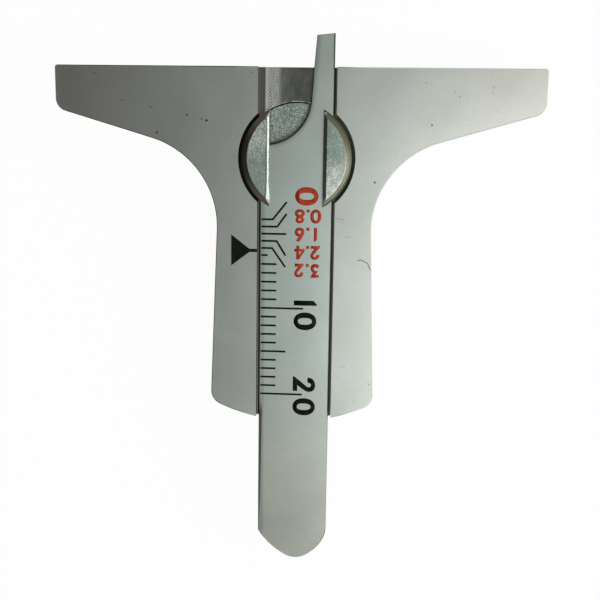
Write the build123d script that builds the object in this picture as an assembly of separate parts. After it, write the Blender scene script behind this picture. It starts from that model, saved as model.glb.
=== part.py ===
from build123d import *
import os
from math import cos, pi, radians, sin, tan

# Sliding depth gauge: a T-shaped base with a milled channel, a flat slide that ends in a slim probe,
# and a slotted stud that a knurled nut pulls down on the slide to hold a reading.
# X runs across the arms, Y towards the probe and Z out of the marked face.
# The origin is the middle of the datum edge, at the level of the channel floor. Lengths are in mm.

# Slide
slide_length = 60.0
slide_width = 8.0
slide_thickness = 1.0
slide_end_height = 3.3
slide_end_tip_radius = 2.4
slide_end_tip_angle = 28.0
slide_end_tip_offset = 0.37
slide_end_corner_radius = 3.0
probe_tip_width = 1.95
probe_tip_slant = 0.2
probe_root_width = 2.5
shoulder_depth = 7.0
shoulder_end_depth = 11.75
slide_edge_break = 0.12

# Reading that the gauge is left at, and the largest one that the scale shows
reading = 3.5
scale_length = 20

# Base plate
base_width = 53.4
base_length = 39.7
floor_thickness = 1.5
datum_corner_radius = 0.3
arm_end_height = 4.65
arm_slope = 16.3
arm_corner_radius = 1.4
throat_radius = 10.0
stem_width = 18.65
stem_flare = 2.1
stem_offset = 0.23
stem_corner_radius = 1.7
foot_radius = 20.0
base_edge_break = 0.12

# Fits of the slide in the base and in the stud's slot
channel_side_clearance = 0.3
channel_seat_clearance = 0.02
slot_side_clearance = 0.1
slot_floor_clearance = 0.15
lip_clearance = 0.04

# Clamp stud
head_diameter = 12.1
bore_clearance = 0.1
stud_distance = 9.8
recess_diameter = 12.9
lip_overlap = 1.05
lip_thickness = 0.6
lip_bevel_width = 0.36
lip_bevel_height = 0.24
rim_width = 0.57
rim_height = 0.45
rim_edge_radius = 0.22
head_setback = 0.25
shank_diameter = 5.0
shank_end_break = 0.4
shank_end_setback = 0.4

# Spring washer, drawn as the nut holds it
washer_diameter = 14.6
washer_thickness = 0.3
washer_bow = 0.3
washer_bore_clearance = 0.25
washer_seat_clearance = 0.03

# Knurled nut
nut_diameter = 16.0
nut_height = 4.2
collar_diameter = 13.6
collar_height = 0.8
nut_edge_break = 0.5
thread_clearance = 0.05
thread_countersink = 0.45
knurl_count = 52
knurl_depth = 0.32
knurl_crest_width = 0.25

# Engraved marks: the scale's zero lies this far behind the probe's tip, and the index as far behind
# the datum edge, so that the index shows how far the probe stands out
zero_distance = 20.0
line_width = 0.18
line_depth = 0.05
line_start = 0.2
first_tick = 4
first_tick_length = 0.9
tick_length = 1.9
middle_tick = 15
middle_tick_length = 3.0
long_tick_step = 10
long_tick_length = 4.95

# Tread limits: mark, length of its straight stretch, end of its leader and scale value at that end
tread_limits = [
    (0.0, 1.45, 2.98, -1.95),
    (0.8, 1.95, 2.97, -0.63),
    (1.6, 1.95, 2.96, 1.6),
    (2.4, 1.90, 2.90, 4.0),
    (3.2, 1.40, 2.88, 5.3),
]

# Index on the base: a triangle that points at the slide, and a line from its apex to the channel
index_line_width = 0.26
index_line_length = 0.7
index_triangle_length = 2.15
index_triangle_height = 3.3

# Levels and places that follow from the sizes above
channel_depth = slide_thickness + channel_seat_clearance
channel_width = slide_width + 2 * channel_side_clearance
back = -floor_thickness
slide_left = -slide_width / 2
slide_right = slide_width / 2
zero_y = reading - zero_distance
lip_under = channel_seat_clearance + slide_thickness + lip_clearance
head_top = lip_under + lip_thickness
head_bottom = back + head_setback
bore_diameter = head_diameter + 2 * bore_clearance
washer_top = back - washer_seat_clearance
nut_top = washer_top - washer_thickness - washer_bow - washer_seat_clearance
nut_bottom = nut_top - nut_height
shank_bottom = nut_bottom + shank_end_setback
stud_place = Location((0, -stud_distance, 0))


def rounded(face, corner, radius):
    """Round the corner of a flat outline that lies nearest to the given point."""
    return fillet(face.vertices().sort_by_distance(Vertex(*corner, 0))[0], radius)


def foot_y(distance):
    """Y of the foot's arc at a distance from the stem's middle."""
    return foot_radius - base_length - (foot_radius**2 - distance**2) ** 0.5


def half_outline(foot_x):
    """Right half of the base, whose stem reaches out to foot_x at its lower corner."""
    half = base_width / 2
    middle = (0, foot_y(stem_offset))
    corner = (foot_x, foot_y(stem_width / 2))
    # The arm's lower edge meets the stem's flaring side at the throat
    drop = tan(radians(arm_slope))
    flare = tan(radians(stem_flare))
    throat_x = (foot_x + flare * (arm_end_height + half * drop + corner[1])) / (1 + flare * drop)
    throat_y = -arm_end_height - (half - throat_x) * drop
    sides = Polyline(middle, (0, 0), (half, 0), (half, -arm_end_height), (throat_x, throat_y), corner)
    foot = RadiusArc(corner, middle, foot_radius)
    face = make_face(sides.edges() + foot.edges())
    face = rounded(face, (half, 0), datum_corner_radius)
    face = rounded(face, (half, -arm_end_height), arm_corner_radius)
    face = rounded(face, (throat_x, throat_y), throat_radius)
    face = rounded(face, corner, stem_corner_radius)
    return face


def base_outline():
    """T-shaped outline, with its stem a little to the left of the channel."""
    right = half_outline(stem_width / 2 - stem_offset)
    left = half_outline(stem_width / 2 + stem_offset)
    return right + mirror(left, Plane.YZ)


def index_mark():
    """Triangle and line beside the channel, at the index's distance behind the datum edge."""
    line_end = -channel_width / 2
    apex = line_end - index_line_length
    tail = apex - index_triangle_length
    rise = index_triangle_height / 2
    triangle = Polygon((apex, 0), (tail, rise), (tail, -rise), align=None)
    # The line starts a little inside the triangle and runs out into the channel
    line = trace(Line((apex - index_line_width, 0), (line_end + 1, 0)), index_line_width)
    return Pos(0, -zero_distance, channel_depth) * (triangle + line)


def make_base_plate():
    """Blanked plate with a milled channel, and a stepped bore for the clamp stud."""
    plate = extrude(Pos(0, 0, back) * base_outline(), floor_thickness + channel_depth)
    rims = plate.edges().group_by(Axis.Z)[-1] + plate.edges().group_by(Axis.Z)[0]
    plate = chamfer(rims, base_edge_break)
    above = (Align.CENTER, Align.CENTER, Align.MIN)
    plate -= Pos(0, -base_length / 2, 0) * Box(channel_width, 2 * base_length, 2 * channel_depth, align=above)
    plate -= stud_place * Cylinder(recess_diameter / 2, 2 * channel_depth, align=above)
    plate -= stud_place * Pos(0, 0, 2 * back) * Cylinder(bore_diameter / 2, 4 * floor_thickness, align=above)
    return plate - extrude(index_mark(), -line_depth)


def slide_outline():
    """Slide with its probe along the right edge and a pointed end, whose left corner stays sharp."""
    tip = reading
    tip_left = (slide_right - probe_tip_width, tip - probe_tip_slant)
    root = (slide_right - probe_root_width, tip - shoulder_depth)
    shoulder_end = (slide_left, tip - shoulder_end_depth)
    end_y = tip - slide_length
    left_corner = (slide_left, end_y + slide_end_height)
    right_corner = (slide_right, end_y + slide_end_height)
    flank = Line(tip_left, root)
    # The lower end is a small arc at its tip, and two flanks that run on from it to the sides
    end_middle = (slide_end_tip_offset, end_y + slide_end_tip_radius)
    end_tip = CenterArc(end_middle, slide_end_tip_radius, 270 - slide_end_tip_angle, 2 * slide_end_tip_angle)
    outline = [
        Line(right_corner, (slide_right, tip)),
        Line((slide_right, tip), tip_left),
        flank,
        TangentArc(root, shoulder_end, tangent=flank % 1),
        Line(shoulder_end, left_corner),
        TangentArc(end_tip @ 0, left_corner, tangent=-(end_tip % 0)),
        end_tip,
        TangentArc(end_tip @ 1, right_corner, tangent=end_tip % 1),
    ]
    return rounded(make_face(outline), right_corner, slide_end_corner_radius)


def tick(value, length):
    """Straight graduation line at a scale value, from near the slide's left edge."""
    y = zero_y - value
    return trace(Line((slide_left + line_start, y), (slide_left + length, y)), line_width)


def tread_limit(value, straight, leader_end, leader_value):
    """Graduation line that bends off to its figure."""
    start = (slide_left + line_start, zero_y - value)
    knee = (slide_left + straight, zero_y - value)
    end = (slide_left + leader_end, zero_y - leader_value)
    return trace(Polyline(start, knee, end), line_width)


def scale_marks():
    """All graduation lines of the slide, as flat shapes on its face."""
    marks = [tread_limit(*limit) for limit in tread_limits]
    for value in range(first_tick, scale_length + 1):
        length = tick_length
        if value == first_tick:
            length = first_tick_length
        if value == middle_tick:
            length = middle_tick_length
        if value % long_tick_step == 0:
            length = long_tick_length
        marks.append(tick(value, length))
    return marks


def make_slide_rule():
    """Flat slide with broken edges and engraved graduations."""
    slide = extrude(Pos(0, 0, channel_seat_clearance) * slide_outline(), slide_thickness)
    slide = chamfer(slide.edges().group_by(Axis.Z)[-1], slide_edge_break)
    face = channel_seat_clearance + slide_thickness
    for mark in scale_marks():
        slide -= extrude(Pos(0, 0, face) * mark, -line_depth)
    return slide


def make_clamp_stud():
    """Turned stud with a slotted head, whose two lips reach over the slide's edges."""
    head_radius = head_diameter / 2
    shank_radius = shank_diameter / 2
    section = Polyline(
        (0, shank_bottom),
        (shank_radius - shank_end_break, shank_bottom),
        (shank_radius, shank_bottom + shank_end_break),
        (shank_radius, head_bottom),
        (head_radius, head_bottom),
        (head_radius, head_top - rim_height),
        (head_radius - rim_width, head_top),
        (0, head_top),
        close=True,
    )
    profile = rounded(make_face(section.edges()), (head_radius - rim_width, head_top), rim_edge_radius)
    stud = revolve(Plane.XZ * profile, Axis.Z)
    above = (Align.CENTER, Align.CENTER, Align.MIN)
    slot_height = lip_under + slot_floor_clearance
    slot = Box(slide_width + 2 * slot_side_clearance, 2 * head_diameter, slot_height, align=above)
    stud -= Pos(0, 0, -slot_floor_clearance) * slot
    # The mouth above the slot widens at the top, which bevels each lip's inner edge
    foot = slide_width / 2 - lip_overlap
    brow = foot + lip_bevel_width
    above_head = 2 * head_top
    mouth = Polygon(
        (foot, 0),
        (foot, head_top - lip_bevel_height),
        (brow, head_top),
        (brow, above_head),
        (-brow, above_head),
        (-brow, head_top),
        (-foot, head_top - lip_bevel_height),
        (-foot, 0),
        align=None,
    )
    return stud_place * (stud - extrude(Plane.XZ * mouth, head_diameter, both=True))


def make_spring_washer():
    """Thin ring bowed about Y: its two sides bear on the plate and its middle on the nut."""
    chord = washer_diameter
    inner = chord**2 / (8 * washer_bow) - washer_bow / 2
    strip = Pos(0, washer_top + inner - washer_bow) * (
        Circle(inner + washer_thickness) - Circle(inner)
    )
    sheet = extrude(Plane.XZ * strip, washer_diameter, both=True)
    bore = shank_diameter / 2 + washer_bore_clearance
    height = 4 * (washer_bow + washer_thickness)
    ring = Cylinder(washer_diameter / 2, height) - Cylinder(bore, height)
    return stud_place * (sheet & Pos(0, 0, washer_top) * ring)


def knurled_outline():
    """Round outline with straight V-grooves, as points on the crests and in the roots."""
    crest = nut_diameter / 2
    root = crest - knurl_depth
    half_crest = knurl_crest_width / nut_diameter
    points = []
    for tooth in range(knurl_count):
        middle = 2 * pi * tooth / knurl_count
        gap = middle + pi / knurl_count
        for radius, angle in ((crest, middle - half_crest), (crest, middle + half_crest), (root, gap)):
            points.append((radius * cos(angle), radius * sin(angle)))
    return Polygon(*points, align=None)


def make_knurled_nut():
    """Thumb nut with a plain collar on the washer's side."""
    radius = nut_diameter / 2
    bore = shank_diameter / 2 + thread_clearance
    collar_bottom = nut_top - collar_height
    section = Polyline(
        (bore + thread_countersink, nut_top),
        (collar_diameter / 2, nut_top),
        (collar_diameter / 2, collar_bottom),
        (radius - nut_edge_break, collar_bottom),
        (radius, collar_bottom - nut_edge_break),
        (radius, nut_bottom + nut_edge_break),
        (radius - nut_edge_break, nut_bottom),
        (bore + thread_countersink, nut_bottom),
        (bore, nut_bottom + thread_countersink),
        (bore, nut_top - thread_countersink),
        close=True,
    )
    turned = revolve(Plane.XZ * make_face(section.edges()), Axis.Z)
    return stud_place * (turned & extrude(Pos(0, 0, nut_bottom) * knurled_outline(), nut_height))


parts = {
    "base_plate": make_base_plate(),
    "slide_rule": make_slide_rule(),
    "clamp_stud": make_clamp_stud(),
    "spring_washer": make_spring_washer(),
    "knurled_nut": make_knurled_nut(),
}

os.makedirs("parts", exist_ok=True)
for name, shape in parts.items():
    export_step(shape, f"parts/{name}.step")
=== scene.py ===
# %% [markdown]
# # A sliding depth gauge in satin steel
# The gauge is a T-shaped plate, a flat slide with a slim probe, and a slotted stud that a knurled
# nut pulls down on the slide. Every solid comes ready made and in its place from the CAD frame.
# So this lesson is about what a solid lacks: finishes, ink in its marks, figures and light.

# %% The frame, and the box that the CAD model fills
import math

import bmesh
import bpy
from mathutils import Matrix, Vector


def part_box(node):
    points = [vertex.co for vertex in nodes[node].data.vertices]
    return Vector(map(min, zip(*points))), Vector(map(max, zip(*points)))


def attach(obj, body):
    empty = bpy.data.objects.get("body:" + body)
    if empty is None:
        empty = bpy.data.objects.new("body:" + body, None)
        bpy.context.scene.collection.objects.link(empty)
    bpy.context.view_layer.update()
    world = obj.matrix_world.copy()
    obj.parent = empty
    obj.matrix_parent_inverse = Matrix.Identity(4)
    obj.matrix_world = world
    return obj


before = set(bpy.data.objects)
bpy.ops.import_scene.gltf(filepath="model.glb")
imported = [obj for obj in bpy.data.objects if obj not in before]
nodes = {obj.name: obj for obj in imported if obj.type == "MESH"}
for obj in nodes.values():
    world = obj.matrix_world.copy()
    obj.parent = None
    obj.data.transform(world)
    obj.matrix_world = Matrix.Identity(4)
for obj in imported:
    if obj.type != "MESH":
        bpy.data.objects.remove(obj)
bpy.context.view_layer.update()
mm = 0.001

# %% [markdown]
# ## Levels and places to build on
# A CAD node's place is in its mesh, so its box tells where things are: the face that carries the
# marks, the stud's axis, the back of the plate. Reading them here keeps the scene true to the
# frame. Only a few gaps that no box shows are copied from the drawing: the ring and the recess
# around the stud's head, the play beside the slide, and how far its zero lies from its tip.

# %% Levels and axes, all in millimetres
plate_low, plate_high = (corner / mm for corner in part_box("base_plate"))
slide_low, slide_high = (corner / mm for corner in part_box("slide_rule"))
stud_low, stud_high = (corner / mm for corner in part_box("clamp_stud"))
nut_low, nut_high = (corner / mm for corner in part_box("knurled_nut"))
face_z = slide_high.z
stud_y = (stud_low.y + stud_high.y) / 2
head_radius = (stud_high.x - stud_low.x) / 2
bore_clearance = 0.1
recess_width = 0.4
bore_radius = head_radius + bore_clearance
recess_radius = head_radius + recess_width
slide_half = slide_high.x
side_clearance = 0.3
channel_half = slide_half + side_clearance
zero_distance = 20.0
zero_y = slide_high.y - zero_distance
print("plate", round(plate_high.z - plate_low.z, 2), "mm thick, marked face at z", round(face_z, 3))
print("stud at y", round(stud_y, 3), "and the scale's zero at y", round(zero_y, 3))

# %% [markdown]
# ## The camera
# The photograph was taken from close by, a little to the right of the stud and tilted, so the far
# parts shrink. Its place and its lens were fitted to the outline of the plate and to the
# graduations. A target-and-track camera would be easier to read, but it could not hold the small
# roll of the picture, so the three axes are written down as they were fitted.

# %% Camera
camera_place = Vector((6.3175, -8.9846, 97.0195)) * mm
camera_right = Vector((0.997985, 0.014332, -0.061824))
camera_down = Vector((0.024572, -0.985466, 0.168073))
camera_forward = Vector((-0.058515, -0.169250, -0.983839))
focal_share = 1.44449
sensor_mm = 36.0
nearest_m, farthest_m = 0.005, 60.0

lens = bpy.data.cameras.new("camera")
lens.sensor_width = sensor_mm
lens.lens = sensor_mm * focal_share
lens.clip_start = nearest_m
lens.clip_end = farthest_m
camera = bpy.data.objects.new("camera", lens)
axes = Matrix((camera_right, -camera_down, -camera_forward)).transposed().to_4x4()
camera.matrix_world = Matrix.Translation(camera_place) @ axes
bpy.context.scene.collection.objects.link(camera)
bpy.context.scene.camera = camera
bpy.context.scene.view_settings.view_transform = "Standard"
print("lens", round(lens.lens, 2), "mm")

# %% [markdown]
# ## A short way to write shader maths
# A material that varies over its surface is a sum of masks, and a mask drawn by hand takes a dozen
# Math nodes. Here a small class stands for a socket, and Python's own operators add the nodes, so
# that a mask reads as the formula that it is. Every other node comes from one method.

# %% Fields
class Field:
    """A value that varies over a surface. Python's operators on it add Math nodes."""

    def __init__(self, nodes_of, socket):
        self.nodes_of = nodes_of
        self.socket = socket

    def math(self, operation, *values):
        return self.nodes_of.add("ShaderNodeMath", {"operation": operation}, values)

    def __add__(self, other):
        return self.math("ADD", self, other)

    def __sub__(self, other):
        return self.math("SUBTRACT", self, other)

    def __rsub__(self, other):
        return self.math("SUBTRACT", other, self)

    def __mul__(self, other):
        return self.math("MULTIPLY", self, other)

    def __pow__(self, other):
        return self.math("POWER", self, other)

    def sine(self):
        return self.math("SINE", self)

    def size(self):
        return self.math("ABSOLUTE", self)

    def larger(self, other):
        return self.math("MAXIMUM", self, other)

    __radd__ = __add__
    __rmul__ = __mul__


print("fields can be added, subtracted, multiplied and raised to a power")

# %% [markdown]
# The other half is the tree itself. A Mix node has one set of sockets for each kind of data, all
# with the same names, so those for colours are told apart by their numbers.

# %% Node trees
colour_factor, colour_a, colour_b, colour_result = 0, 6, 7, 2


class Nodes:
    """A node tree to which nodes are added by type, settings and sockets."""

    def __init__(self, tree):
        self.tree = tree

    def add(self, kind, settings, sockets, output=0):
        """Add a node, set it, give its sockets values or links, and return one of its outputs."""
        node = self.tree.nodes.new(kind)
        for name, value in settings.items():
            setattr(node, name, value)
        named = sockets.items() if isinstance(sockets, dict) else enumerate(sockets)
        for name, value in named:
            if isinstance(value, Field):
                self.tree.links.new(value.socket, node.inputs[name])
            else:
                node.inputs[name].default_value = value
        return Field(self, node.outputs[output])

    def mix(self, share, first, second):
        """The first colour where share is 0, and the second where it is 1."""
        sockets = {colour_factor: share, colour_a: first, colour_b: second}
        return self.add("ShaderNodeMix", {"data_type": "RGBA"}, sockets, output=colour_result)

    def rise(self, value, start, end):
        """0 up to start, 1 from end on, and smooth between. It falls where end is below start."""
        if end < start:
            return 1 - self.rise(value, end, start)
        limits = {"Value": value, "From Min": start, "From Max": end}
        return self.add("ShaderNodeMapRange", {"interpolation_type": "SMOOTHSTEP"}, limits)

    def between(self, value, start, full, fading, end):
        """0 up to start, 1 from full to fading, and 0 again from end on."""
        return self.rise(value, start, full) * self.rise(value, end, fading)

    def band(self, value, start, end, soft):
        """1 between start and end, and 0 outside, with equally soft edges."""
        return self.between(value, start - soft, start + soft, end - soft, end + soft)

    def noise(self, place, per_mm, detail=2.0, roughness=0.5):
        """Cloudy noise from 0 to 1, with so many clouds to the millimetre."""
        sockets = {"Vector": place, "Scale": per_mm, "Detail": detail, "Roughness": roughness}
        return self.add("ShaderNodeTexNoise", {}, sockets)

    def stretched(self, place, stretch, turn=0.0):
        """The same place, turned about Z and scaled along each axis, for streaky patterns."""
        sockets = {"Vector": place, "Rotation": (0, 0, turn), "Scale": stretch}
        return self.add("ShaderNodeMapping", {"vector_type": "POINT"}, sockets)


print("nodes can be added, mixed, raised, cut to bands, clouded and stretched")

# %% [markdown]
# ## A finish
# A finish is one material and its one Principled shader. A varying value may only feed the sockets
# that an export can bake, so `feed` takes just those, and whatever is the same all over is set on
# the shader itself. Colours are written as the eye reads them, from 0 to 255.

# %% Finishes
def paint(red, green, blue):
    """A colour as it is read off a screen, turned into the light that a shader works in."""
    shares = [value / 255 for value in (red, green, blue)]
    return [((share + 0.055) / 1.055) ** 2.4 for share in shares] + [1.0]


class Finish(Nodes):
    """A material with its Principled shader."""

    baked = ("Base Color", "Roughness", "Metallic", "Coat Weight", "Normal")

    def __init__(self, name, **constants):
        self.material = bpy.data.materials.new(name)
        self.material.use_nodes = True
        super().__init__(self.material.node_tree)
        self.shader = self.tree.nodes["Principled BSDF"]
        for socket, value in constants.items():
            self.shader.inputs[socket.replace("_", " ")].default_value = value

    def feed(self, **fields):
        """Link fields to the shader's sockets, as in feed(base_color=colour)."""
        for name, field in fields.items():
            socket = name.replace("_", " ").title()
            assert socket in self.baked, socket
            self.tree.links.new(field.socket, self.shader.inputs[socket])

    def place(self):
        """The point on the surface, in millimetres of the shared frame."""
        here = self.add("ShaderNodeTexCoord", {}, {}, output="Object")
        return self.add("ShaderNodeVectorMath", {"operation": "SCALE"}, {0: here, "Scale": 1 / mm})

    def along(self, place, axis):
        """One coordinate of a point, or one channel of a colour."""
        return self.add("ShaderNodeSeparateXYZ", {}, [place], output=axis)

    def place_and_axes(self):
        """The point on the surface, and its X, its Y and its Z."""
        place = self.place()
        return [place] + [self.along(place, axis) for axis in "XYZ"]

    def bump(self, height, depth_mm):
        """A Normal that tilts as if the surface rose by depth_mm where height is 1."""
        sockets = {"Height": height, "Distance": depth_mm * mm, "Strength": 1.0}
        return self.add("ShaderNodeBump", {}, sockets, output="Normal")


def from_axis(x, y, centre_y):
    """Distance from an axis that stands upright at x = 0 and y = centre_y."""
    return (x * x + (y - centre_y) * (y - centre_y)) ** 0.5


print("paint(200, 205, 198) is", [round(value, 3) for value in paint(200, 205, 198)])

# %% [markdown]
# ## Satin stainless steel
# The plate and the slide are rolled stainless with a fine matt grain. Up close it is a carpet of
# tiny pits; from arm's length it is a soft grey with a touch of green that glows towards the light.
# Three noises make it: clouds a few millimetres wide that shift its tone, a grain under a tenth of
# a millimetre that tilts the light, and faint hairlines along the rolling direction.

# %% What both steel pieces share
steel = paint(213, 221, 214)
steel_in_shade = paint(193, 200, 193)
arm_steel = paint(215, 216, 208)
arm_in_shade = paint(195, 196, 188)
# Painted shade for the cut edges below the face, and a painted highlight on them towards the window
edge_dark = paint(96, 98, 91)
edge_black = paint(50, 52, 46)
edge_highlight = paint(218, 221, 213)
datum_dark = paint(62, 64, 58)
dirt = paint(46, 44, 38)
tone_low, tone_high = 0.35, 0.68
satin_roughness = 0.305
satin_depth = 0.0016


def satin_grain(finish, place):
    """Tone, roughness and height of the matt rolled surface."""
    clouds = finish.noise(place, 0.22, detail=3.0)
    grain = finish.noise(place, 11.0, detail=3.0, roughness=0.7)
    hairlines = finish.noise(finish.stretched(place, (0.35, 14.0, 1.0)), 1.0, detail=2.0)
    tone = clouds * 0.25 + grain * 0.6 + hairlines * 0.15
    roughness = satin_roughness + clouds * 0.01 + grain * 0.04
    height = grain * 0.85 + hairlines * 0.15
    return tone, roughness, height


print("steel", [round(value, 3) for value in steel[:3]])

# %% [markdown]
# ## Specks of dirt and scratches
# A used gauge is not spotless. The dark specks sit where they do on the real plate, each a tiny
# soft-edged dot. A list of places and sizes is enough, and the mask is the largest of the dots.
# A scratch is a list of bends, and its mask comes from the distance to the line through them.

# %% Where the dirt and the scratches are
# Each speck is its x and y, its radius in mm, and how dark it is
specks = [
    (-22.28, -0.87, 0.09, 0.55),
    (-22.02, -1.4, 0.08, 0.45),
    (-22.18, -1.66, 0.07, 0.45),
    (-19.31, -3.74, 0.10, 0.6),
    (-16.27, -4.37, 0.09, 0.45),
    (-16.0, -4.53, 0.10, 0.6),
    (-12.09, -5.23, 0.12, 0.75),
    (-10.46, -5.67, 0.10, 0.75),
    (-9.93, -5.81, 0.13, 1.0),
    (-15.43, -7.18, 0.12, 0.9),
    (-4.93, -0.65, 0.1, 0.35),
    (14.6, -6.02, 0.10, 1.0),
    (8.62, -12.25, 0.12, 0.9),
    (17.42, -3.02, 0.09, 0.5),
    (16.9, -2.6, 0.08, 0.35),
    (13.82, -1.6, 0.08, 0.45),
    (21.0, -1.95, 0.1, 0.35),
    (20.9, -2.6, 0.09, 0.3),
    (8.16, -14.6, 0.08, 0.3),
    (8.62, -35.06, 0.09, 0.45),
    (5.73, -33.1, 0.09, 0.35),
]
# Each scratch is how strongly it shows, and its bends: a hooked one, and three faint nicks
scratches = [
    (
        1.0,
        [
            (6.95, -20.89), (7.34, -20.81), (7.63, -20.96),
            (8.12, -21.23), (8.15, -21.43), (8.44, -21.97),
        ],
    ),
    (0.4, [(4.43, -16.26), (5.37, -16.37)]),
    (0.2, [(4.6, -16.58), (5.3, -16.7)]),
    (0.35, [(5.42, -18.34), (6.14, -18.29)]),
]
print(len(specks), "specks and", len(scratches), "scratches")

# %% Masks for specks and scratches
scratch_reach = 0.09
scratch_end_softness = 0.03
speck_outside, speck_inside = 1.4, 0.5


def speck_mask(finish, x, y):
    """How dirty the face is: 0 where clean, up to 1 in the darkest speck."""
    mask = None
    for speck_x, speck_y, radius, darkness in specks:
        away = ((x - speck_x) * (x - speck_x) + (y - speck_y) * (y - speck_y)) ** 0.5
        dot = finish.rise(away, radius * speck_outside, radius * speck_inside) * darkness
        mask = dot if mask is None else mask.larger(dot)
    return mask


def scratch_mask(finish, x, y):
    """Hairlines from bend to bend: the distance to each straight stretch, softly cut off."""
    mask = None
    for strength, bends in scratches:
        for start, end in zip(bends, bends[1:]):
            run = Vector(end) - Vector(start)
            length = run.length
            run = run / length
            on = (x - start[0]) * run.x + (y - start[1]) * run.y
            off = ((x - start[0]) * run.y - (y - start[1]) * run.x).size()
            stretch = finish.band(on, 0.0, length, scratch_end_softness)
            stretch = stretch * finish.rise(off, scratch_reach, 0.0) * strength
            mask = stretch if mask is None else mask.larger(stretch)
    return mask


print("a scratch darkens the face up to", scratch_reach, "mm from its middle")

# %% [markdown]
# ## The plate
# One material dresses the whole plate, so it must know where it is. The marked face is satin. The
# channel was milled: its floor is brushed lengthwise and painted dark as shade and a dark
# reflection, with a painted bright reflection in a cross-hatched lane near its left wall and a
# strip of painted shade beside that. The recess around the stud and the channel's walls are painted
# dark as the shade in them. Each of these is a mask from the point's own coordinates, which is
# worked out in a function of its own and laid over the colour so far.

# %% The milled floor of the channel
# The floor's colours: a dark base of painted shade and dark reflection, a lighter tone that is
# partly a painted sheen, the hatching's own dark lines, a painted reflection, and painted shade
floor_shaded_base = paint(90, 96, 90)
floor_sheen_and_tone = paint(168, 172, 164)
floor_dark = paint(70, 73, 68)
floor_highlight = paint(252, 255, 251)
floor_shade = paint(124, 126, 117)
# Along X, in mm: the painted shade ends, the hatching starts, and the painted reflection's lane
# ends
shaded_strip_edge = -3.58
hatching_edge = -3.3
lane_edge = -2.2
hatch_pitch = 0.33


def hatch_gaps(finish, x, y):
    """1 in the small diamonds between two crossing sets of lines, and 0 on the lines."""
    waves = 2 * math.pi / hatch_pitch
    hatch = ((x + y) * waves).sine().larger(((x - y) * waves).sine())
    return finish.rise(hatch, 0.7, 0.1)


def channel_floor(finish, place, x, y):
    """Colour of the milled floor: brushed and painted dark, a hatched lane of painted reflection,
    painted shade beside it.
    """
    brushed = finish.noise(finish.stretched(place, (8.0, 0.5, 1.0)), 1.0, detail=3.0)
    shading = finish.noise(finish.stretched(place, (1.1, 0.7, 1.0), math.radians(25)), 1.0)
    # Nearer the lane the floor is painted lighter, a sheen fading out from the painted reflection
    near_lane = finish.rise(x, lane_edge + 2.4, lane_edge + 0.3)
    lighter_share = finish.rise(brushed * 0.2 + shading * 0.3 + near_lane * 0.15 + 0.22, 0.3, 0.85)
    tone = finish.mix(lighter_share, floor_shaded_base, floor_sheen_and_tone)
    # The lane is a painted reflection, and the hatching in it is the floor's own
    lane = finish.between(x, shaded_strip_edge - 0.08, shaded_strip_edge + 0.08, lane_edge - 0.2, lane_edge + 0.5)
    tone = finish.mix(lane, tone, floor_highlight)
    hatched = lane * finish.rise(x, hatching_edge - 0.15, hatching_edge + 0.2)
    wear = finish.noise(finish.stretched(place, (2.5, 0.8, 1.0)), 1.0)
    wear = finish.rise(wear, 0.3, 0.7) * 0.5 + 0.5
    tone = finish.mix(hatched * hatch_gaps(finish, x, y) * wear, tone, floor_dark)
    # A strip of painted shade along the left wall
    return finish.mix(finish.rise(x, shaded_strip_edge + 0.04, shaded_strip_edge - 0.04), tone, floor_shade)


print("hatching", hatch_pitch, "mm apart, in a lane", round(lane_edge - shaded_strip_edge, 2), "mm wide")

# %% Painted shade on the floor beside the slide, and a painted highlight on the burr around the bore
pit_shade = paint(40, 41, 36)
gap_shade_start = -14.0


def channel_gap_shade(finish, tone, place, x, y):
    """The floor's colour with painted shade beside the slide's edges, and a painted highlight on a
    burr.
    """
    # Painted shade on the floor right of the slide, and in the gaps along its edges
    tone = finish.mix(finish.rise(x, slide_half + 0.12, slide_half + 0.16), tone, floor_shade)
    right = finish.band(x, slide_half - 0.06, slide_half + 0.13, 0.03)
    left = finish.band(x, -slide_half - 0.21, -slide_half, 0.03)
    left = left * finish.rise(y, gap_shade_start, gap_shade_start - 1.0)
    tone = finish.mix(right.larger(left) * 0.9, tone, pit_shade)
    # A painted highlight on the burr around the bore
    axis_distance = from_axis(x, y, stud_y)
    burr = finish.band(axis_distance, bore_radius + 0.01, bore_radius + 0.08, 0.02)
    burr = burr * finish.rise(finish.noise(place, 1.6), 0.4, 0.5)
    burr = burr * finish.rise(x.size(), slide_half - 0.1, slide_half - 0.3)
    return finish.mix(burr, tone, floor_highlight)


print("painted shade runs beside the slide, at the left only below y", gap_shade_start)

# %% The marked face and the cut edges
# Distance from the middle over which the arms turn less green, a painted warm reflection
warm_start, warm_end = 8.0, 27.0
# The right cheek, painted darker against the lamp's too bright reflection, across and along the
# plate
cheek_across = (4.0, 7.5, 9.0, 13.0)
cheek_along = (-36.0, -30.0, -15.0, -8.0)


def marked_face(finish, x, y, tone):
    """Satin steel, less green at the arms' ends as a painted warm reflection, and with painted
    shade on the right cheek.
    """
    warm = finish.rise(x.size(), warm_start, warm_end)
    shade = finish.mix(warm, steel_in_shade, arm_in_shade)
    bright = finish.mix(warm, steel, arm_steel)
    colour = finish.mix(finish.rise(tone, tone_low, tone_high), shade, bright)
    # Painted shade on the right cheek
    cheek_shade = finish.between(x, *cheek_across) * finish.between(y, *cheek_along)
    return finish.mix(cheek_shade * 0.45, colour, steel_in_shade)


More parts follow.
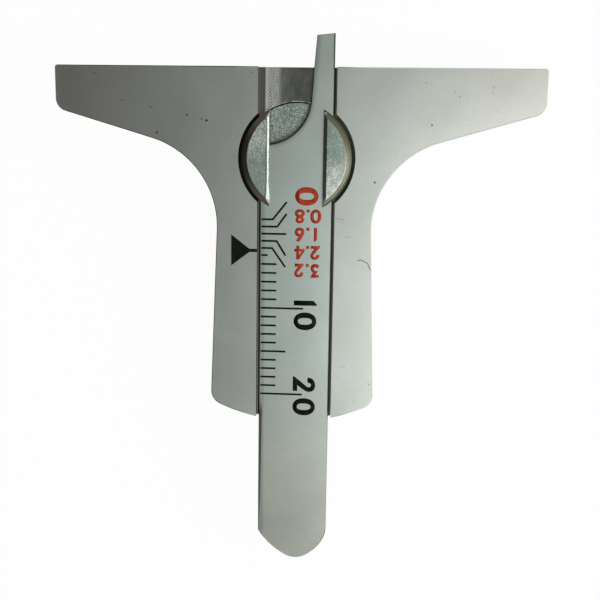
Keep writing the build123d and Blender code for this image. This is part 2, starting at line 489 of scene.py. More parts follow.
def cut_edges(finish, colour, x, y, z):
    """Painted shade on the edges below the face, darkest at the datum edge, and a painted highlight
    towards the window.
    """
    edge = finish.mix(finish.rise(y, -0.3, -0.1), edge_dark, datum_dark)
    edge = finish.mix(finish.rise(x, 4.6, 7.0), edge, edge_highlight)
    colour = finish.mix(finish.rise(z, face_z - 0.01, face_z - 0.05) * 0.85, colour, edge)
    # The broken edge of the left arm gets painted shade, nearly black, which outlines it
    outline = finish.band(z, face_z - 0.16, face_z - 0.01, 0.01) * finish.rise(x, -5.0, -7.0)
    return finish.mix(outline, colour, edge_black)


print("arms warm from", warm_start, "mm outward")

# %% The channel's walls and the recess around the stud
# Painted shade for the channel's walls and the recess, lighter at the right; the darkest also
# colours the scratches
wall_dark = paint(70, 70, 62)
wall_left = paint(88, 89, 82)
wall_left_top = paint(120, 121, 112)
pit_lighter_shade = paint(92, 94, 84)


def channel_walls(finish, colour, x, y, z):
    """Painted shade on the walls: the left one grey and darker along its top, the right one dark
    all over.
    """
    left = finish.mix(finish.rise(y, stud_y, stud_y + 3), wall_left, wall_left_top)
    left = finish.mix(finish.rise(z, face_z - 0.55, face_z - 0.2) * 0.7, left, pit_shade)
    walls = finish.band(x.size(), channel_half - 0.1, channel_half + 0.1, 0.02)
    walls = walls * finish.band(z, 0.03, face_z - 0.02, 0.02)
    return finish.mix(walls, colour, finish.mix(finish.rise(x, -1, 1), left, wall_dark))


def recess_mask(finish, x, y, z):
    """1 on the wall and the floor of the recess and down the bore, but not on the channel."""
    ring = (bore_radius - 0.08, bore_radius - 0.02, recess_radius + 0.01, recess_radius + 0.04)
    height = (plate_low.z + 0.02, plate_low.z + 0.2, face_z - 0.2, face_z - 0.1)
    outside_channel = finish.rise(x.size(), channel_half - 0.06, channel_half - 0.02)
    below_floor = finish.rise(z, -0.02, -0.06)
    mask = finish.between(from_axis(x, y, stud_y), *ring) * outside_channel.larger(below_floor)
    return mask * finish.between(z, *height)


print("recess", round(bore_radius, 2), "to", round(recess_radius, 2), "mm from the stud's axis")

# %% Plate finish
def plate_finish():
    finish = Finish("satin_stainless_plate", Metallic=1.0)
    place, x, y, z = finish.place_and_axes()
    tone, roughness, height = satin_grain(finish, place)
    colour = marked_face(finish, x, y, tone)
    face = finish.rise(z, face_z - 0.02, face_z - 0.004)
    colour = finish.mix(face * speck_mask(finish, x, y), colour, dirt)
    colour = finish.mix(face * scratch_mask(finish, x, y), colour, wall_dark)
    colour = cut_edges(finish, colour, x, y, z)
    milled = finish.rise(x.size(), channel_half + 0.06, channel_half + 0.02)
    milled = milled * finish.band(z, -0.2, 0.2, 0.02)
    floor = channel_gap_shade(finish, channel_floor(finish, place, x, y), place, x, y)
    colour = finish.mix(milled, colour, floor)
    colour = channel_walls(finish, colour, x, y, z)
    recess = recess_mask(finish, x, y, z)
    # The recess gets painted shade, darker at the left
    colour = finish.mix(recess, colour, finish.mix(finish.rise(x, -1, 1), pit_shade, pit_lighter_shade))
    finish.feed(
        base_color=colour,
        roughness=roughness + recess * 0.2 - milled * 0.04,
        normal=finish.bump(height, satin_depth),
    )
    return finish.material


plate_material = plate_finish()
nodes["base_plate"].data.materials[0] = plate_material
print("plate:", len(plate_material.node_tree.nodes), "nodes")

# %% [markdown]
# ## The slide
# The slide is the same steel. Its long edges were rolled down before it was marked, so a strip half
# a millimetre wide along the left edge leans away from the light and is painted a shade darker. The
# punched edge of the probe and of the hollow beside it is browned, with a painted shadow along it.
# To darken it evenly, the mask needs the distance from that edge, which is a straight flank and
# then an arc.

# %% The punched edge beside the probe
# Lengths of the drawing, in mm: the probe's widths, and how far its shoulder lies from its tip
probe_tip_width, probe_tip_slant = 1.95, 0.2
probe_root_width = 2.5
shoulder_start, shoulder_end = 7.0, 11.75

probe_root = Vector((slide_high.x - probe_root_width, slide_high.y - shoulder_start))
probe_tip = Vector((slide_high.x - probe_tip_width, slide_high.y - probe_tip_slant))
hollow_end = Vector((slide_low.x, slide_high.y - shoulder_end))
flank_run = (probe_tip - probe_root).normalized()
across_hollow = probe_root - hollow_end
# The arc leaves the root along the flank, so its centre lies square to the flank
to_centre = Vector((-flank_run.y, flank_run.x))
hollow_radius = -across_hollow.length_squared / (2 * across_hollow.dot(to_centre))
hollow_centre = probe_root + to_centre * hollow_radius
print("hollow of radius", round(hollow_radius, 2), "mm around", hollow_centre)


def from_punched_edge(finish, x, y):
    """How far a point of the slide's face lies inside the flank, or inside the arc below it."""
    flank = (y - probe_root.y) * -to_centre.y - (x - probe_root.x) * to_centre.x
    arc = from_axis(x - hollow_centre.x, y, hollow_centre.y) - hollow_radius
    below = finish.rise(y, probe_root.y + 0.1, probe_root.y - 0.1)
    return arc * below + flank * (1 - below)


# %% The slide's face
slide_steel = paint(207, 220, 214)
slide_shade = paint(182, 194, 188)
slide_warmer_end = paint(217, 219, 206)
# Painted shade for the rolled strip, and brown with a painted shadow for the punched edge
rolled_shade = paint(140, 145, 138)
edge_brown_and_shadow = paint(66, 62, 52)
yellow_start, yellow_end = -28.0, -52.0


def slide_face(finish, x, y, tone):
    """An alloy a little bluer than the plate's, yellower towards the lower end, with painted shade
    on the rolled left edge.
    """
    towards_end = finish.rise(y, yellow_start, yellow_end)
    bright = finish.mix(towards_end, slide_steel, slide_warmer_end)
    shade = finish.mix(0.8, bright, slide_shade)
    colour = finish.mix(finish.rise(tone, tone_low, tone_high), shade, bright)
    rolled = finish.rise(x, slide_low.x + 0.7, slide_low.x + 0.45)
    return finish.mix(rolled * 0.4, colour, rolled_shade)


def browned_and_shadow_mask(finish, x, y):
    """A faint wide band of brown and painted shade, and a strong narrow band of painted shadow,
    along the punched edge.
    """
    inside = from_punched_edge(finish, x, y)
    wide = finish.rise(inside, 0.7, 0.1) * 0.35
    narrow = finish.rise(inside, 0.28, 0.14) * finish.rise(y, -1.0, -6.0) * 0.9
    return wide.larger(narrow) * finish.rise(y, hollow_end.y - 0.6, hollow_end.y)


print("slide yellows from y", yellow_start, "to", yellow_end)

# %% Its painted shadow lines, and its sides with painted shade and highlight
# Painted highlight and painted shade for the slide's sides, and brown for its end
side_highlight = paint(190, 193, 186)
side_shade = paint(80, 82, 76)
tip_brown = paint(70, 64, 50)
# Where the left edge below the plate carries a painted shadow line, along Y
shadow_line_span = (-53.5, -49.0, -39.0, -37.0)
# Below this place that line narrows by so much for each mm
taper_start, taper = -40.0, 0.015


def shadow_line_mask(finish, place, x, y):
    """Painted shadow lines at the probe's right edge, and at the left edge below the plate."""
    right = finish.rise(x, slide_high.x - 0.2, slide_high.x - 0.12) * finish.rise(y, -1.5, -0.5)
    right = right * finish.rise(finish.noise(place, 0.9), 0.42, 0.55)
    tapered = x - (y - taper_start) * taper
    left = finish.rise(tapered, slide_low.x + 0.42, slide_low.x + 0.32)
    return right.larger(left * finish.between(y, *shadow_line_span))


def slide_sides(finish, x, y):
    """Colour of the sides: painted shade, a painted highlight at the lower right, and brown around
    the end.
    """
    right = finish.rise(x, slide_high.x - 0.1, slide_high.x - 0.02)
    side = finish.mix(right * finish.rise(y, -38.0, -39.0), side_shade, side_highlight)
    return finish.mix(finish.rise(y, -52.5, -53.5), side, tip_brown)


print("shadow line from y", shadow_line_span[0], "to", shadow_line_span[-1])

# %% Slide finish
def slide_finish():
    finish = Finish("satin_stainless_slide", Metallic=1.0)
    place, x, y, z = finish.place_and_axes()
    # The pattern is squeezed and turned, so that it doesn't run on from the plate's
    tone, roughness, height = satin_grain(finish, finish.stretched(place, (0.9, 1.1, 1.0), 0.02))
    colour = slide_face(finish, x, y, tone)
    colour = finish.mix(browned_and_shadow_mask(finish, x, y), colour, edge_brown_and_shadow)
    # Painted shadow lines along the edges
    colour = finish.mix(shadow_line_mask(finish, place, x, y) * 0.9, colour, side_shade)
    # The sides below the face get painted shade, and a painted highlight at the lower right
    sides = finish.rise(z, face_z - 0.01, face_z - 0.05)
    colour = finish.mix(sides, colour, slide_sides(finish, x, y))
    finish.feed(base_color=colour, roughness=roughness, normal=finish.bump(height, satin_depth))
    return finish.material


slide_material = slide_finish()
nodes["slide_rule"].data.materials[0] = slide_material
print("slide:", len(slide_material.node_tree.nodes), "nodes")

# %% [markdown]
# ## The zinc-plated stud
# Zinc plating grows in crystals, so its surface glitters in specks a tenth of a millimetre wide, a
# little blue and green. Voronoi cells with a random tone each make such a spangle better than
# noise, whose clouds have no edges. The slot between the lips gets painted shade, and the lips are
# brighter in two places.

# %% Zinc spangle and the stud's head
zinc_dark = paint(142, 158, 150)
zinc_light = paint(214, 228, 218)
# The brightest zinc, for the lips' brighter places and the rim's painted highlights, and then the
# painted shade of the slot
zinc_brightest = paint(238, 247, 236)
slot_shade = paint(92, 106, 97)
# Above the channel's floor, in mm: the slot lies below the first level, the lips above the second
slot_level, lip_level = 0.2, 0.4


def zinc_spangle(finish, place, per_mm, glitter=1.0):
    """Tone from 0 to 1: glittering crystals over clouds, and scuffs that run askew."""
    flecks = {"Vector": place, "Scale": per_mm, "Randomness": 1.0}
    crystals = finish.add("ShaderNodeTexVoronoi", {"feature": "F1"}, flecks, output="Color")
    bright = finish.rise(finish.along(crystals, "X"), 0.45, 1.0)
    clouds = finish.noise(place, 0.9, detail=3.0)
    askew = finish.stretched(place, (7.0, 0.9, 1.0), math.radians(-32))
    scuffs = finish.noise(askew, 1.0, detail=2.0)
    return bright * glitter * 0.4 + clouds * 0.3 + scuffs * 0.35


def zinc_head(finish, y, right, in_slot, spangle):
    """Plating with painted shade in the slot, and brighter up the left lip and down the right one.
    """
    colour = finish.mix(finish.rise(spangle, 0.25, 0.8), zinc_dark, zinc_light)
    # Painted shade in the slot
    slot_painted_shade = in_slot * finish.rise(spangle, 0.7, 0.25) * 0.3
    colour = finish.mix(slot_painted_shade, colour, slot_shade)
    brighter_left = finish.rise(y, stud_y - 1.5, stud_y + 2.0) * 0.45
    brighter_right = finish.rise(y, stud_y + 1.0, stud_y - 2.5)
    brighter = brighter_left * (1 - right) + brighter_right * right
    brighter = brighter * (1 - in_slot) * finish.rise(spangle, 0.15, 0.6)
    return finish.mix(brighter, colour, zinc_brightest)


print("spangle colours", [round(value, 3) for value in zinc_dark[:3] + zinc_light[:3]])

# %% [markdown]
# Each lip has a bevel along the slot, painted dark as shade except for a line on the left one where
# its own highlight shows.
# The lips' rim was turned, which left fine rings around the axis and a warm tan film. It is darker
# towards its outside, with painted shade at the left, where it turns away from the window, and
# towards its top.

# %% The lips' bevels
rim_shade = paint(50, 48, 40)
lip_overlap = 1.05
bevel_width = 0.36
bevel_foot = slide_half - lip_overlap
bevel_brow = bevel_foot + bevel_width
unshaded_line = bevel_foot + 0.15


def lip_bevels(finish, place, x, y, right):
    """1 on the bevels where they get painted shade. The line left unshaded widens towards the left
    lip's foot.
    """
    ragged = x.size() + finish.noise(place, 3.0) * 0.12 - 0.06
    bevel = finish.band(ragged, bevel_foot - 0.04, bevel_brow + 0.03, 0.02)
    half_width = finish.rise(y, stud_y - 2.0, stud_y - 4.6) * 0.1 + 0.07
    lighter_share = finish.rise((ragged - unshaded_line).size() - half_width, 0.02, -0.02)
    bevel = bevel * (1 - lighter_share * (1 - right))
    # Both bevels fade before the lips' lower ends
    return bevel * finish.rise(y, stud_y - 4.9, stud_y - 4.0)


print("bevels", round(bevel_foot, 2), "to", round(bevel_brow, 2), "mm from the middle")

# %% The lips' turned rim
rim_tan = paint(166, 168, 148)
rim_brown = paint(78, 77, 64)
rim_shade_end = paint(126, 120, 102)
rim_width = 0.57
top_radius = head_radius - rim_width
ring_waves = 36.0


def turned_rim(finish, x, y, axis_distance, rings, spangle):
    """Tan colour of the rim, from its rings, its darker outside, and painted shade at its left and
    top.
    """
    # Painted shade darkens the rim towards its top
    lit_below = finish.rise(y, stud_y + 2.5, stud_y - 3.5)
    tan = rings * 0.8 + spangle * 0.3 + lit_below * 0.35 - 0.35
    tan = finish.mix(tan, rim_brown, rim_tan)
    outer = finish.rise(axis_distance, head_radius - 0.36, head_radius - 0.1)
    tan = finish.mix(outer * 0.7, tan, rim_brown)
    ends = finish.rise((y - stud_y).size(), 1.5, 4.5)
    shaded = finish.mix(ends, rim_shade, rim_shade_end)
    return finish.mix(finish.rise(x, -2.0, -3.2) * 0.85, tan, shaded)


def rim_glints(finish, y, axis_distance, spangle):
    """Painted highlights: 1 on two broken bright circles, the rim's inner edge and a fainter one
    half-way out.
    """
    inner = finish.band(axis_distance, top_radius - 0.02, top_radius + 0.02, 0.02)
    middle = finish.band(axis_distance, top_radius + 0.26, top_radius + 0.29, 0.02) * 0.6
    lower = finish.rise(y, stud_y, stud_y - 3.0)
    return inner.larger(middle) * lower * finish.rise(spangle, 0.2, 0.5)


print("rim", round(top_radius, 2), "to", round(head_radius, 2), "mm from the axis")

# %% Stud finish
# Where the right lip's pointed end gets a painted dark spot and highlight, and how far that reaches
spot_x, spot_y = 3.03, -4.86
spot_inside, spot_outside = 0.16, 0.28
zinc_depth = 0.006


def stud_finish():
    finish = Finish("zinc_plated_stud", Metallic=1.0)
    place, x, y, z = finish.place_and_axes()
    axis_distance = from_axis(x, y, stud_y)
    in_slot = finish.rise(z, lip_level, slot_level)
    lips = finish.rise(z, face_z, face_z + 0.05)
    right = finish.rise(x, -0.5, 0.5)
    high_left = (1 - right) * finish.rise(y, stud_y - 1.0, stud_y + 2.0) * (1 - in_slot)
    spangle = zinc_spangle(finish, place, 13.0, glitter=0.6 + in_slot * 0.45 + high_left * 0.6)
    colour = zinc_head(finish, y, right, in_slot, spangle)
    bevels = lip_bevels(finish, place, x, y, right) * lips
    # Painted shade on the bevels
    colour = finish.mix(bevels * 0.85, colour, rim_shade)
    rings = (axis_distance * ring_waves).sine() * 0.5 + 0.5
    rim = finish.rise(axis_distance, top_radius - 0.14, top_radius) * lips
    colour = finish.mix(rim, colour, turned_rim(finish, x, y, axis_distance, rings, spangle))
    glints = rim_glints(finish, y, axis_distance, spangle)
    # Painted highlights on the rim, at the right only
    colour = finish.mix(glints * right * lips, colour, zinc_brightest)
    # The spot is painted shade above and a painted tan highlight below
    lip_end_spot = finish.rise(from_axis(x - spot_x, y, spot_y), spot_outside, spot_inside) * lips
    spot_shade_and_highlight = finish.mix(finish.rise(y, spot_y + 0.02, spot_y + 0.1), rim_tan, pit_shade)
    colour = finish.mix(lip_end_spot, colour, spot_shade_and_highlight)
    # The head's side below the lips gets painted shade, lighter at the right
    edge = finish.rise(axis_distance, head_radius - 0.06, head_radius - 0.03)
    colour = finish.mix(edge * (1 - lips), colour, finish.mix(right, pit_shade, pit_lighter_shade))
    finish.feed(
        base_color=colour,
        roughness=0.33 + spangle * 0.1,
        normal=finish.bump(spangle * (1 - rim) + rings * rim * 0.8, zinc_depth),
    )
    return finish.material


stud_material = stud_finish()
nodes["clamp_stud"].data.materials[0] = stud_material
print("stud:", len(stud_material.node_tree.nodes), "nodes")

# %% [markdown]
# ## The nut and the spring washer
# The nut shares the zinc plating. Turning left rings on its flat faces, which a sine of the
# distance from the axis draws, and the roots of the knurl are darker. The washer is plain
# spring steel, darker and bluer from its heat treatment.

# %% Nut finish
# Darker colours for the knurl's roots and around the bore
knurl_root_dark = paint(84, 84, 76)
bore_edge_dark = paint(96, 98, 90)
nut_radius = (nut_high.x - nut_low.x) / 2
nut_waves = 30.0
nut_depth = 0.004
# Distances from the axis of the knurl's roots, and of the edge of the countersunk bore
knurl_roots = (nut_radius - 0.6, nut_radius - 0.4, nut_radius - 0.24, nut_radius - 0.06)
bore_inside, bore_outside = 2.9, 3.1
# The knurl keeps clear of the nut's lower edge and of its collar
knurl_low, knurl_high = nut_low.z + 0.5, nut_high.z - 1.3


def nut_finish():
    finish = Finish("zinc_plated_nut", Metallic=1.0)
    place, x, y, z = finish.place_and_axes()
    spangle = zinc_spangle(finish, place, 7.0, glitter=0.45)
    axis_distance = from_axis(x, y, stud_y)
    rings = (axis_distance * nut_waves).sine() * 0.5 + 0.5
    colour = finish.mix(finish.rise(spangle + rings * 0.12, 0.35, 0.75), zinc_dark, zinc_light)
    roots = finish.between(axis_distance, *knurl_roots)
    roots = roots * finish.band(z, knurl_low, knurl_high, 0.1)
    colour = finish.mix(roots * 0.7, colour, knurl_root_dark)
    bore = finish.rise(axis_distance, bore_outside, bore_inside)
    colour = finish.mix(bore * 0.5, colour, bore_edge_dark)
    finish.feed(
        base_color=colour,
        roughness=0.36 + spangle * 0.12,
        normal=finish.bump(spangle * 0.5 + rings * 0.5, nut_depth),
    )
    return finish.material


nodes["knurled_nut"].data.materials[0] = nut_finish()
print("nut radius", round(nut_radius, 2), "mm")

# %% Washer finish
spring_blue = paint(104, 110, 118)
spring_grey = paint(140, 140, 136)
spring_depth = 0.003


def washer_finish():
    finish = Finish("spring_steel_washer", Metallic=1.0)
    place = finish.place()
    clouds = finish.noise(place, 0.8, detail=3.0)
    grain = finish.noise(place, 14.0, detail=2.0)
    finish.feed(
        base_color=finish.mix(clouds, spring_blue, spring_grey),
        roughness=0.32 + grain * 0.12,
        normal=finish.bump(grain, spring_depth),
    )
    return finish.material


nodes["spring_washer"].data.materials[0] = washer_finish()
print("washer: blue", [round(value, 3) for value in spring_blue[:3]])

# %% [markdown]
# ## Ink
# The marks are filled with enamel that was baked in, dull and slightly uneven. Red and black differ
# only in their colour, so one function makes both.

# %% Ink finishes
ink_gloss = 0.1
ink_depth = 0.002


def ink_finish(name, thin, thick):
    finish = Finish(name, Specular_IOR_Level=ink_gloss)
    place = finish.place()
    film = finish.noise(place, 3.5, detail=3.0)
    finish.feed(
        base_color=finish.mix(finish.rise(film, 0.3, 0.7), thin, thick),
        roughness=0.55 + film * 0.15,
        normal=finish.bump(film, ink_depth),
    )
    return finish.material


black_ink = ink_finish("black_enamel", paint(20, 23, 19), paint(10, 12, 9))
red_ink = ink_finish("red_enamel", paint(178, 69, 44), paint(164, 56, 35))
print("inks:", black_ink.name, "and", red_ink.name)

# %% [markdown]
# ## Ink in the engraved lines
# The graduations and the index are real grooves in the CAD solids. Their ink is made from the
# grooves themselves: a copy of the node's mesh is merged, all but the grooves' floors is deleted,
# and what is left is raised to the face. Enamel creeps over the lips of its groove as it is baked,
# which makes a line look bolder than it was cut, so the raised outline is pushed outward a little.

# %% A finished piece
def add_piece(name, shape, material, body):
    """Turn a bmesh into a finished piece that rides on a body."""
    mesh = bpy.data.meshes.new(name)
    shape.to_mesh(mesh)
    shape.free()
    mesh.materials.append(material)
    piece = bpy.data.objects.new(name, mesh)
    bpy.context.scene.collection.objects.link(piece)
    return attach(piece, body)


def raise_film(shape, height):
    """Extrude the flat faces of a bmesh upwards into a closed film, and return its top vertices."""
    grown = bmesh.ops.extrude_face_region(shape, geom=shape.faces[:])
    tops = [item for item in grown["geom"] if isinstance(item, bmesh.types.BMVert)]
    bmesh.ops.translate(shape, verts=tops, vec=(0, 0, height))
    bmesh.ops.recalc_face_normals(shape, faces=shape.faces)
    return tops


print("pieces so far:", list(nodes))

# %% Fill the grooves
groove_depth = 0.05
ink_above_face = 0.004
graduation_creep = 0.02
index_creep = 0.05
# Corners closer than this are one, and a level met within this is met, in mm
weld_distance = 0.001
level_tolerance = 0.002


def creep_outward(tops, width):
    """Push the upper outline outward: along its wall's normal, and in a corner by both walls'."""
    for top in tops:
        walls = [face.normal for face in top.link_faces if abs(face.normal.z) < 0.5]
        if len(walls) == 2:
            first, second = walls
            top.co += (first + second) / (1 + first.dot(second)) * width * mm


def lies_at(face, level):
    """Whether all corners of a face are at one level, given in millimetres."""
    return all(abs(vertex.co.z / mm - level) < level_tolerance for vertex in face.verts)


def fill_grooves(node_name, piece_name, body, creep):
    """A thin body of ink in every groove of a node's marked face."""
    shape = bmesh.new()
    shape.from_mesh(nodes[node_name].data)
    bmesh.ops.remove_doubles(shape, verts=shape.verts, dist=weld_distance * mm)
    rest = [face for face in shape.faces if not lies_at(face, face_z - groove_depth)]
    bmesh.ops.delete(shape, geom=rest, context="FACES")
    floors = len(shape.faces)
    tops = raise_film(shape, (groove_depth + ink_above_face) * mm)
    shape.normal_update()
    creep_outward(tops, creep)
    open_edges = sum(not edge.is_manifold for edge in shape.edges)
    print(piece_name, floors, "floor faces,", open_edges, "open edges")
    return add_piece(piece_name, shape, black_ink, body)


fill_grooves("slide_rule", "graduation_ink", "slide", graduation_creep)
fill_grooves("base_plate", "index_ink", "base", index_creep)

# %% [markdown]
# ## Figures
# The figures of the scale are heavy and plain. A ready font would be quicker, but none has this
# flat-topped 3, this bar of a 1 or this straight-tailed 6, so each figure is drawn as a sign
# writer would: closed outlines whose points are either corners or bends. The same outlines serve
# the large and the small figures. A flat 2D curve fills them, leaves the counters open, and is
# made a mesh before it is placed.

# %% Outlines of the figures, one unit high
def corner(x, y):
    return x, y, "VECTOR"


def bend(x, y):
    return x, y, "AUTO"


def oval(centre_x, centre_y, half_width, half_height, squareness=2.0, points=12):
    """An oval of bends, whose sides grow straighter with squareness."""
    outline = []
    for step in range(points):
        angle = 2 * math.pi * step / points
        across, up = math.cos(angle), math.sin(angle)
        across = math.copysign(abs(across) ** (2 / squareness), across)
        up = math.copysign(abs(up) ** (2 / squareness), up)
        outline.append(bend(centre_x + half_width * across, centre_y + half_height * up))
    return outline


def mirrored(outline, middle):
    """The right half of an outline, from top to bottom, and its mirror image back up."""
    back = [(2 * middle - x, y, kind) for x, y, kind in reversed(outline[1:-1])]
    return outline + back


figures = {
    "0": [oval(0.39, 0.5, 0.39, 0.5, 2.15), oval(0.39, 0.5, 0.165, 0.325, 2.4)],
    "1": [[corner(0, 0), corner(0.2, 0), corner(0.2, 1), corner(0.145, 1), corner(0, 0.86)]],
    "2": [
        [
            corner(0, 0), corner(0.655, 0), corner(0.655, 0.185), corner(0.365, 0.185),
            bend(0.545, 0.42), bend(0.655, 0.595), bend(0.685, 0.735), bend(0.6, 0.925),
            bend(0.37, 1), bend(0.15, 0.925), bend(0.052, 0.76), corner(0.045, 0.665),
            corner(0.25, 0.665), bend(0.27, 0.755), bend(0.365, 0.83), bend(0.465, 0.79),
            bend(0.49, 0.7), bend(0.435, 0.595), bend(0.3, 0.43), corner(0, 0.05),
        ]
    ],
    "3": [
        [
            corner(0.02, 1), corner(0.6, 1), corner(0.6, 0.955), corner(0.415, 0.64),
            bend(0.545, 0.515), bend(0.6, 0.325), bend(0.52, 0.095), bend(0.29, 0),
            bend(0.1, 0.05), corner(0, 0.15), corner(0.13, 0.29), bend(0.26, 0.205),
            bend(0.37, 0.25), bend(0.4, 0.345), bend(0.36, 0.465), bend(0.25, 0.515),
            corner(0.08, 0.515), corner(0.26, 0.815), corner(0.02, 0.815),
        ]
    ],
    "4": [
        [
            corner(0.375, 0), corner(0.575, 0), corner(0.575, 0.24), corner(0.73, 0.24),
            corner(0.73, 0.41), corner(0.575, 0.41), corner(0.575, 1), corner(0.4, 1),
            corner(0, 0.41), corner(0, 0.24), corner(0.375, 0.24),
        ],
        [corner(0.385, 0.41), corner(0.385, 0.73), corner(0.175, 0.41)],
    ],
    "6": [
        [
            corner(0.335, 1), corner(0.58, 1), corner(0.385, 0.635), bend(0.55, 0.595),
            bend(0.665, 0.44), bend(0.66, 0.2), bend(0.53, 0.045), bend(0.335, 0),
            bend(0.14, 0.045), bend(0.01, 0.2), bend(0.008, 0.4), bend(0.08, 0.56),
        ],
        oval(0.335, 0.325, 0.135, 0.14),
    ],
    "8": [
        mirrored(
            [
                bend(0.34, 1), bend(0.56, 0.935), bend(0.64, 0.765), bend(0.575, 0.605),
                bend(0.575, 0.53), bend(0.67, 0.4), bend(0.67, 0.17), bend(0.55, 0.035),
                bend(0.34, 0),
            ],
            0.34,
        ),
        oval(0.34, 0.29, 0.15, 0.115),
        oval(0.34, 0.745, 0.125, 0.095),
    ],
    ".": [[corner(0, 0), corner(0.185, 0), corner(0.185, 0.185), corner(0, 0.185)]],
}
print("figures drawn:", " ".join(figures))

# %% A figure as a flat mesh
curve_steps = 6


def draw_outlines(name, spread):
    """A flat filled curve through the outlines of one figure, with its strokes spread."""
    curve = bpy.data.curves.new("figure", "CURVE")
    curve.dimensions = "2D"
    curve.offset = spread
    curve.fill_mode = "BOTH"
    curve.resolution_u = curve_steps
    for outline in figures[name]:
        spline = curve.splines.new("BEZIER")
        spline.bezier_points.add(len(outline) - 1)
        spline.use_cyclic_u = True
        for point, (x, y, handle) in zip(spline.bezier_points, outline):
            point.co = (x, y, 0)
            point.handle_left_type = point.handle_right_type = handle
    return curve


def figure_mesh(name, spread):
    """A flat mesh of one figure, one unit high, with its middle at the origin."""
    drawn = bpy.data.objects.new("figure", draw_outlines(name, spread))
    bpy.context.scene.collection.objects.link(drawn)
    bpy.context.view_layer.update()
    evaluated = drawn.evaluated_get(bpy.context.evaluated_depsgraph_get())
    mesh = bpy.data.meshes.new_from_object(evaluated)
    bpy.data.objects.remove(drawn)
    across = [vertex.co.x for vertex in mesh.vertices]
    up = [vertex.co.y for vertex in mesh.vertices]
    middle = Vector(((min(across) + max(across)) / 2, (min(up) + max(up)) / 2, 0))
    mesh.transform(Matrix.Translation(-middle))
    return mesh


print("each bend of an outline is drawn in", curve_steps, "steps")

# %% [markdown]
# The black figures read from the side and count whole millimetres. The red ones name the tread
# depths at which a tyre is judged; they stand on their heads beside their bent leaders. Each row
# of the tables below is one figure: where it is across the slide, and at which scale value.

# %% Where the figures are
large_height = 2.52
small_height = 1.5
black_figures = [("1", 1.2, 9.35), ("0", 1.2, 11.44), ("2", 1.2, 18.77), ("0", 1.2, 21.44)]
red_zero = [("0", 1.19, -2.61)]
row_values = [-0.4, 1.62, 3.64, 5.655]
row_figures = ["0.8", "1.6", "2.4", "3.2"]
row_places = [2.23, 1.375, 0.455]
point_shift = -0.6
red_figures = [
    (figure, x, value + (point_shift if figure == "." else 0.0))
    for value, row in zip(row_values, row_figures)
    for figure, x in zip(row, row_places)
]
print(len(black_figures), "black figures and", len(red_zero + red_figures), "red ones")

# %% Print the figures on the slide
ink_thickness = 0.012
ink_sunk = 0.002
ink_spread = 0.028
figure_weld = 1e-5
sideways = math.radians(-90)
upside_down = math.radians(180)


def print_figures(shape, rows, height, turn):
    """Add figures to a bmesh as thin films on the slide's face."""
    for name, x, value in rows:
        film = bmesh.new()
        film.from_mesh(figure_mesh(name, ink_spread / height))
        bmesh.ops.remove_doubles(film, verts=film.verts, dist=figure_weld)
        raise_film(film, ink_thickness / height)
        scale = Matrix.Diagonal((height * mm, height * mm, height * mm, 1))
        place = Vector((x, zero_y - value, face_z - ink_sunk)) * mm
        film.transform(Matrix.Translation(place) @ Matrix.Rotation(turn, 4, "Z") @ scale)
        printed = bpy.data.meshes.new("printed")
        film.to_mesh(printed)
        film.free()
        shape.from_mesh(printed)


black_shape = bmesh.new()
print_figures(black_shape, black_figures, large_height, sideways)
print("black figures:", len(black_shape.faces), "faces")
add_piece("scale_figures", black_shape, black_ink, "slide")

red_shape = bmesh.new()
print_figures(red_shape, red_zero, large_height, sideways)
print_figures(red_shape, red_figures, small_height, upside_down)
print("red figures:", len(red_shape.faces), "faces")
add_piece("tread_limit_figures", red_shape, red_ink, "slide")

# %% [markdown]
# ## Floor
# The gauge lies on its nut on white paper. The camera, and metal that mirrors the floor, see the
# paper mostly as plain white, and a share of real diffuse shading keeps the soft shadow.

# %% Sheet of paper
floor_half_m = 20.0

floor_shape = bmesh.new()
bmesh.ops.create_grid(floor_shape, x_segments=1, y_segments=1, size=floor_half_m)
bmesh.ops.translate(floor_shape, verts=floor_shape.verts, vec=(0, 0, nut_low.z * mm))
floor_mesh = bpy.data.meshes.new("paper_floor")
floor_shape.to_mesh(floor_mesh)
floor_shape.free()
paper = bpy.data.objects.new("paper_floor", floor_mesh)
bpy.context.scene.collection.objects.link(paper)
print("floor at", round(nut_low.z, 3), "mm")

# %% Its finish
paper_white = (0.9, 0.9, 0.9, 1.0)
glow_white = (1.0, 1.0, 1.0, 1.0)
glow_share = 0.97

paper_material = bpy.data.materials.new("white_paper")
paper_material.use_nodes = True
sheet = Nodes(paper_material.node_tree)
rays = sheet.add("ShaderNodeLightPath", {}, {}, output="Is Camera Ray")
seen = rays
for kind in ("Is Glossy Ray", "Is Transmission Ray"):
    seen = seen + Field(sheet, rays.socket.node.outputs[kind])
matt = sheet.add("ShaderNodeBsdfDiffuse", {}, {"Color": paper_white})
glow = sheet.add("ShaderNodeEmission", {}, {"Color": glow_white, "Strength": 1.0})
mixed = sheet.add("ShaderNodeMixShader", {}, [seen * glow_share, matt, glow])
sheet.tree.links.new(mixed.socket, sheet.tree.nodes["Material Output"].inputs["Surface"])
floor_mesh.materials.append(paper_material)
print("paper:", len(paper_material.node_tree.nodes), "nodes")

# %% [markdown]
# ## Light
# The plate's tone runs from dark at its left end to bright at its right, because it mirrors a dim
# ceiling on one side and a window on the other. A large soft area lamp stands for the window. Its
# left edge hangs just to the right of the plate, and the satin surface blurs that edge into the
# long gradient. A smaller lamp low at the right lights the edges that face it.

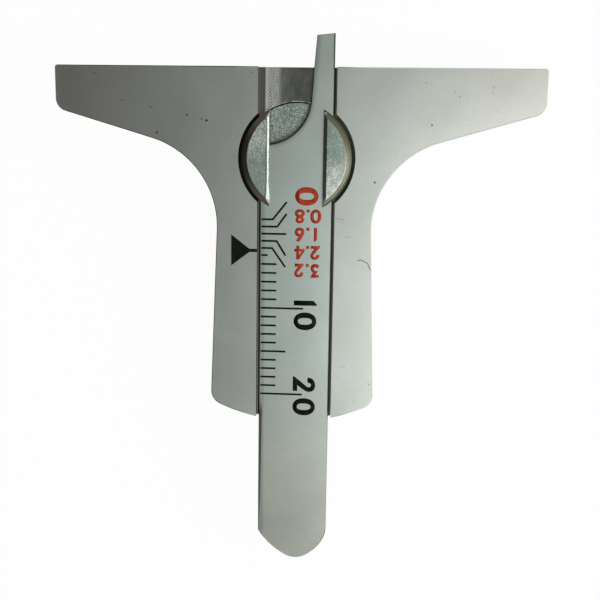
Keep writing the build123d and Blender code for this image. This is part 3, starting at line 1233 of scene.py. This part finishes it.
# %% Lamps, with places and sizes in metres
window_place, window_size, window_radiance = (0.2908, -0.1612, 0.5), (0.4827, 0.2891), 2.77
side_place, side_size, side_radiance = (0.38, -0.05, 0.25), (0.24, 0.3), 2.4
side_target = (0.0, -0.01, 0.0)


def soft_lamp(name, place, size, radiance, target=None):
    """A rectangular lamp that glows with the same radiance whatever its size."""
    data = bpy.data.lights.new(name, "AREA")
    data.shape = "RECTANGLE"
    data.size, data.size_y = size
    data.energy = radiance * math.pi * data.size * data.size_y
    lamp = bpy.data.objects.new(name, data)
    if target is not None:
        aim = Vector(target) - Vector(place)
        lamp.rotation_euler = aim.to_track_quat("-Z", "Y").to_euler()
    lamp.location = place
    bpy.context.scene.collection.objects.link(lamp)
    print(name, "radiance", radiance, "energy", round(data.energy, 3), "W")


soft_lamp("window_light", window_place, window_size, window_radiance)
soft_lamp("side_light", side_place, side_size, side_radiance, side_target)

# %% [markdown]
# The room itself is a world colour that depends only on direction: a ceiling, walls and a
# skirting, each dim at the left and bright at the right, where the window is.

# %% Room
ceiling_dim, ceiling_bright = (0.01, 0.0098, 0.0093, 1), (0.66, 0.66, 0.645, 1)
walls_dim, walls_bright = (0.36, 0.355, 0.34, 1), (1.2, 1.2, 1.17, 1)
skirting_dim, skirting_bright = (0.3, 0.29, 0.27, 1), (0.55, 0.54, 0.5, 1)

world = bpy.data.worlds.new("room")
world.use_nodes = True
bpy.context.scene.world = world
room = Nodes(world.node_tree)
direction = room.add("ShaderNodeTexCoord", {}, {}, output="Generated")
aside = room.add("ShaderNodeSeparateXYZ", {}, [direction], output="X")
up = room.add("ShaderNodeSeparateXYZ", {}, [direction], output="Z")
ceiling = room.mix(room.rise(aside, -0.6, 0.7), ceiling_dim, ceiling_bright)
walls = room.mix(room.rise(aside, -0.3, 0.6), walls_dim, walls_bright)
skirting = room.mix(room.rise(aside, -0.3, 0.6), skirting_dim, skirting_bright)
around = room.mix(room.rise(up, 0.75, 0.45), ceiling, walls)
around = room.mix(room.rise(up, 0.34, 0.2), around, skirting)
backdrop = room.tree.nodes["Background"]
room.tree.links.new(around.socket, backdrop.inputs["Color"])
backdrop.inputs["Strength"].default_value = 1.0
print("room:", len(world.node_tree.nodes), "nodes")
